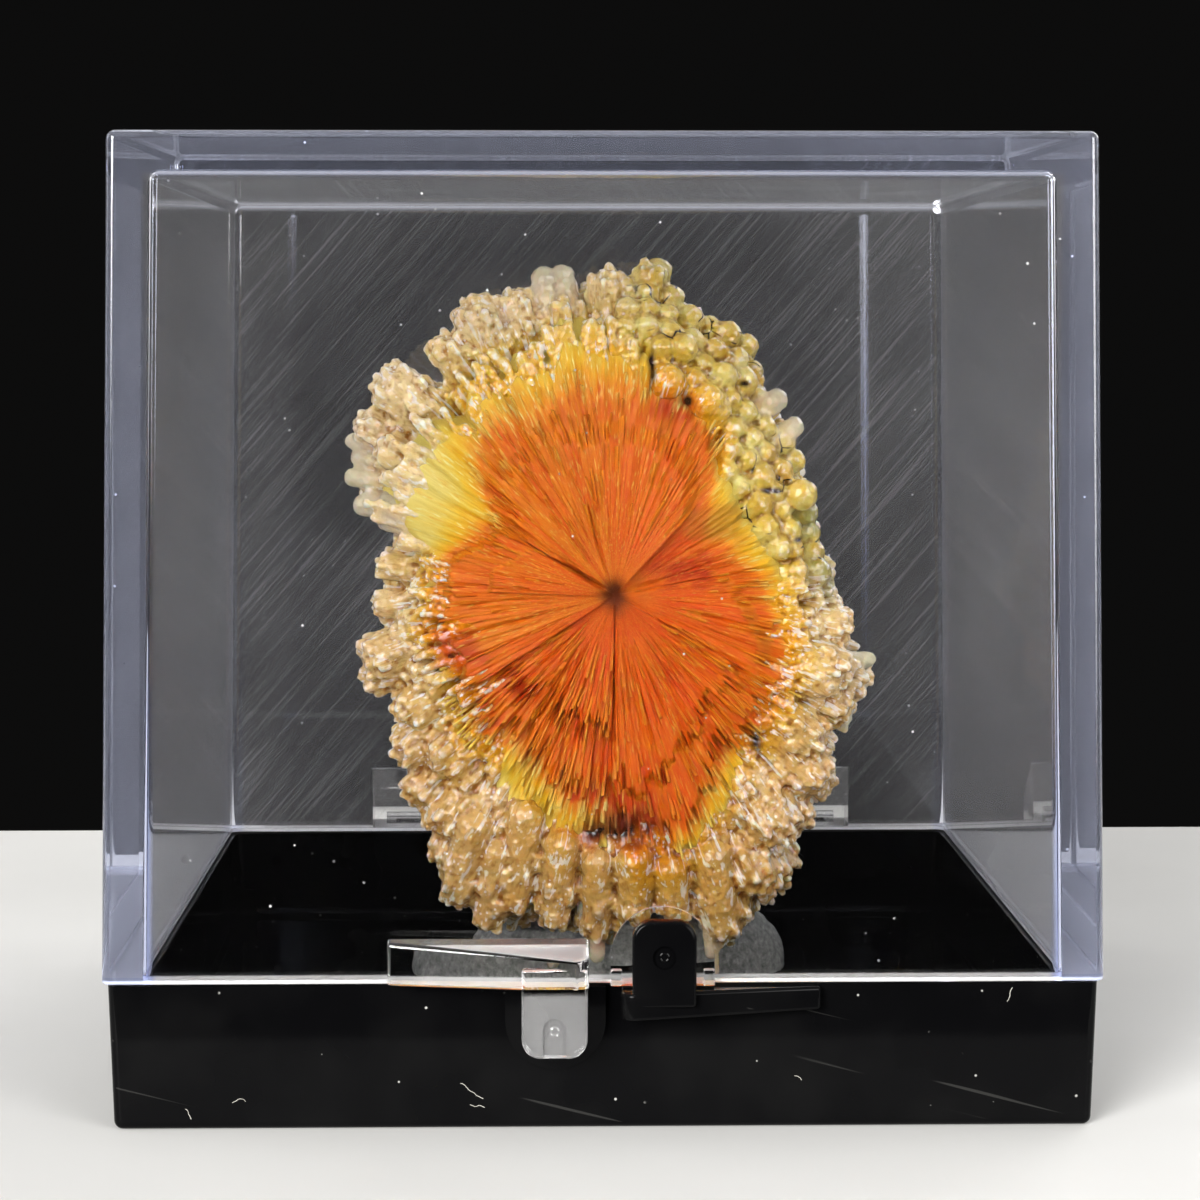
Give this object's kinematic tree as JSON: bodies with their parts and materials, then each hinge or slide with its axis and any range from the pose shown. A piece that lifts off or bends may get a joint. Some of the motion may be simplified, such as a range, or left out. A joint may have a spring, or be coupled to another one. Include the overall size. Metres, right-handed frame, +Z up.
{
  "type": "boxed scolecite specimen",
  "caption": "Thumbnail scolecite specimen with a radiating broken face and a crust of rounded fingers, set in putty in a clear box with a hinged lid.",
  "frame": {"origin": "centre of the base's flat underside", "axes": "+Z up, -Y towards the latch at the front, +Y towards the hinge, +X to the right seen from the front"},
  "size_m": [0.032, 0.036, 0.0318],
  "materials": {
    "black_plastic": "glossy moulded black",
    "clear_plastic": "clear polished styrene with fine scratches",
    "scolecite": "silky radiating needles, glassy tips",
    "putty": "dull grainy"
  },
  "bodies": {
    "base": {"base": "black_plastic", "specimen": "scolecite", "putty": "putty"},
    "lid": {"lid": "clear_plastic"}
  },
  "joints": [
    {"name": "lid_hinge", "type": "hinge", "parent": "base", "child": "lid", "pos_m": [0, 0.01735, 0.00475], "axis": [-1, 0, 0], "range_deg": [0, 100]}
  ]
}
